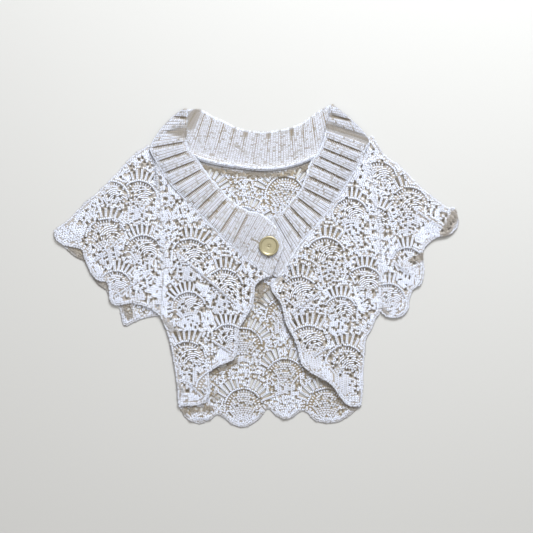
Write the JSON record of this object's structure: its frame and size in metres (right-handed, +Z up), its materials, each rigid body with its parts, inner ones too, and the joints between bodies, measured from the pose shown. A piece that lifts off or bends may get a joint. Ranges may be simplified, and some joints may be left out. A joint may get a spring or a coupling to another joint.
{
  "type": "one-button lace knit bolero cardigan laid flat",
  "caption": "Short-sleeved open-front bolero cardigan in white fan lace with scalloped edges, a wide ribbed neck band and a round button, laid flat face up.",
  "frame": {"origin": "on the surface that the garment lies on, below the centre of its box", "axes": "+X to the right as seen from above with the neck away, from sleeve to sleeve; +Y towards the neck; +Z up from the surface, out of the garment's front"},
  "size_m": [0.6668, 0.532, 0.0146],
  "materials": {
    "lace": "matt white cotton yarn, open lace knit",
    "rib": "matt white cotton yarn, wide ribs",
    "button": "pale gold, satin, raised rim round a dished face"
  },
  "bodies": {
    "root": {"back": "lace", "left_front": "lace", "right_front": "lace", "left_sleeve_front": "lace", "left_sleeve_back": "lace", "right_sleeve_front": "lace", "right_sleeve_back": "lace", "neck_band_back": "rib", "neck_band_left": "rib", "neck_band_right": "rib", "button": "button"}
  },
  "joints": []
}
